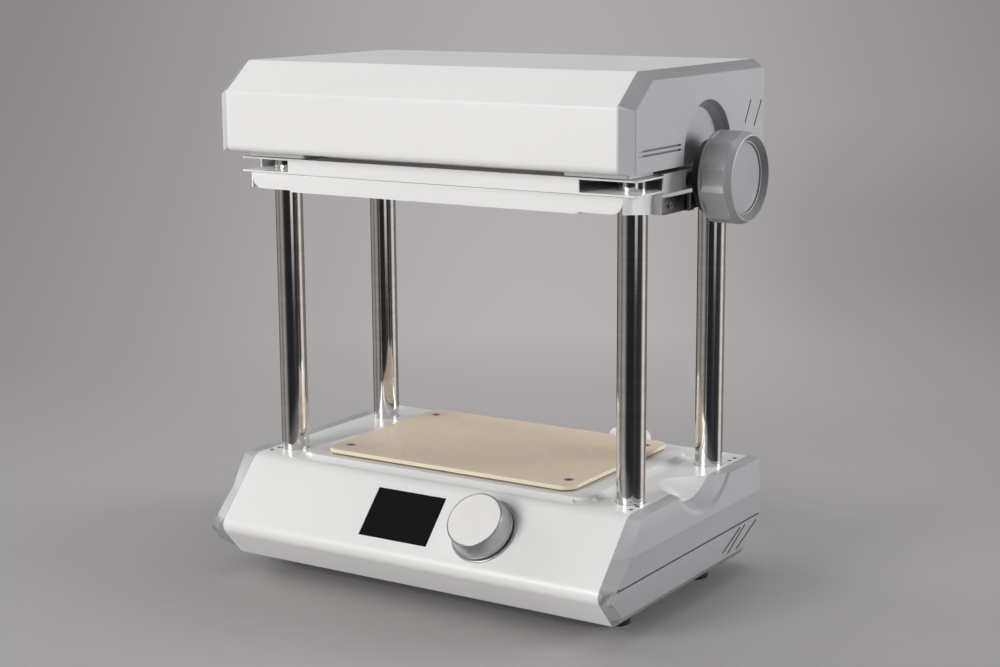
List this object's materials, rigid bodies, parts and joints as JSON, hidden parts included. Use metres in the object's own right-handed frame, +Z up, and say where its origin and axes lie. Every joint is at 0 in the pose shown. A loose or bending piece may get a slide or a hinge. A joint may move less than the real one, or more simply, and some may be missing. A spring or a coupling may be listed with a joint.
{
  "type": "vacuum former for dental thermoforming sheets",
  "caption": "Benchtop dental vacuum former: a heating head on four steel columns over a base, with a sliding sheet carriage, a side clamp knob, a form plate, a display and a control dial",
  "frame": {"origin": "on the floor plane under the four rubber feet, midway between the four columns", "axes": "+X to the side with the knob, parallel to the blower's shaft; +Y to the back; +Z up along the columns, in which the carriage slides"},
  "size_m": [0.3698, 0.2465, 0.373],
  "materials": {
    "shell_paint": "satin",
    "screw_black": "matt",
    "cap_plastic": "matt",
    "column_steel": "polished",
    "carriage_paint": "satin",
    "strap_steel": "machined",
    "screw_steel": "machined",
    "knob_plastic": "satin",
    "black_plastic": "matt",
    "foot_rubber": "matt",
    "plate_beige": "matt",
    "glass_dark": "gloss",
    "dial_metal": "satin",
    "dial_white": "satin",
    "pan_steel": "satin",
    "board_green": "matt",
    "ceramic_white": "matt",
    "insulation_wool": "matt"
  },
  "bodies": {
    "root": {"base_shell": "shell_paint", "plate_seat": "shell_paint", "base_back": "shell_paint", "head_shell": "shell_paint", "exhaust_cover": "shell_paint", "base_cap_left": "cap_plastic", "base_cap_right": "cap_plastic", "head_cap_left": "cap_plastic", "head_cap_right": "cap_plastic", "column_front_left": "column_steel", "column_front_right": "column_steel", "column_rear_left": "column_steel", "column_rear_right": "column_steel", "head_corner_pads": "carriage_paint", "base_screws": "screw_steel", "column_top_bolts": "screw_steel", "corner_screws": "screw_black", "switch_body": "black_plastic", "mains_inlet": "black_plastic", "plenum_box": "black_plastic", "suction_elbow": "black_plastic", "blower_housing": "black_plastic", "display_module": "black_plastic", "rubber_feet": "foot_rubber", "plate_seal": "foot_rubber", "form_plate": "plate_beige", "display_glass": "glass_dark", "dial_ring": "dial_metal", "encoder_case": "dial_metal", "base_pan": "pan_steel", "head_pan": "pan_steel", "column_sockets": "pan_steel", "column_clamps": "pan_steel", "heater_reflector": "pan_steel", "power_supply": "pan_steel", "blower_motor": "pan_steel", "temperature_sensor": "pan_steel", "control_board": "board_green", "tube_holders": "ceramic_white", "heater_tubes": "ceramic_white", "insulation_pad": "insulation_wool"},
    "carriage": {"carriage_frame": "carriage_paint", "column_bushings": "black_plastic", "hinge_pins": "strap_steel", "knob_flange": "black_plastic", "flange_screws": "screw_steel"},
    "clamp_tray": {"clamp_tray": "carriage_paint", "tray_gasket": "foot_rubber", "clamp_strap": "strap_steel", "strap_screws": "screw_steel"},
    "side_knob": {"crank_shaft": "strap_steel", "side_knob": "knob_plastic", "knob_face": "knob_plastic"},
    "dial_plunger": {"encoder_plunger": "dial_metal"},
    "dial": {"encoder_shaft": "strap_steel", "control_dial": "dial_metal", "dial_face": "dial_white"},
    "rocker": {"switch_rocker": "black_plastic"},
    "rotor": {"impeller": "black_plastic", "motor_shaft": "strap_steel"}
  },
  "joints": [
    {"name": "carriage_slide", "type": "slide", "parent": "root", "child": "carriage", "axis": [0, 0, -1], "range_m": [0, 0.186]},
    {"name": "knob_turn", "type": "hinge", "parent": "carriage", "child": "side_knob", "pos_m": [0.17, 0, 0.2997], "axis": [1, 0, 0], "range_deg": [0, 90]},
    {"name": "tray_tilt", "type": "hinge", "parent": "carriage", "child": "clamp_tray", "pos_m": [-0.1602, 0, 0.287], "axis": [0, 1, 0], "range_deg": [0, 0.6265]},
    {"name": "dial_push", "type": "slide", "parent": "root", "child": "dial_plunger", "axis": [0, 0.7321, -0.6812], "range_m": [0, 0.0008], "stiffness_N_per_m": 2500, "springref_m": -0.001},
    {"name": "dial_turn", "type": "hinge", "parent": "dial_plunger", "child": "dial", "pos_m": [0.0573, -0.10748, 0.06171], "axis": [0, 0.7321, -0.6812], "continuous": true},
    {"name": "rocker_tilt", "type": "hinge", "parent": "root", "child": "rocker", "pos_m": [-0.042, 0.091, 0.043], "axis": [-1, 0, 0], "range_deg": [0, 10]},
    {"name": "rotor_spin", "type": "hinge", "parent": "root", "child": "rotor", "pos_m": [0.03, 0.022, 0.044], "axis": [1, 0, 0], "continuous": true}
  ],
  "couplings": [
    {"joint": "tray_tilt", "follows": "knob_turn", "ratio": 0.0069385}
  ]
}
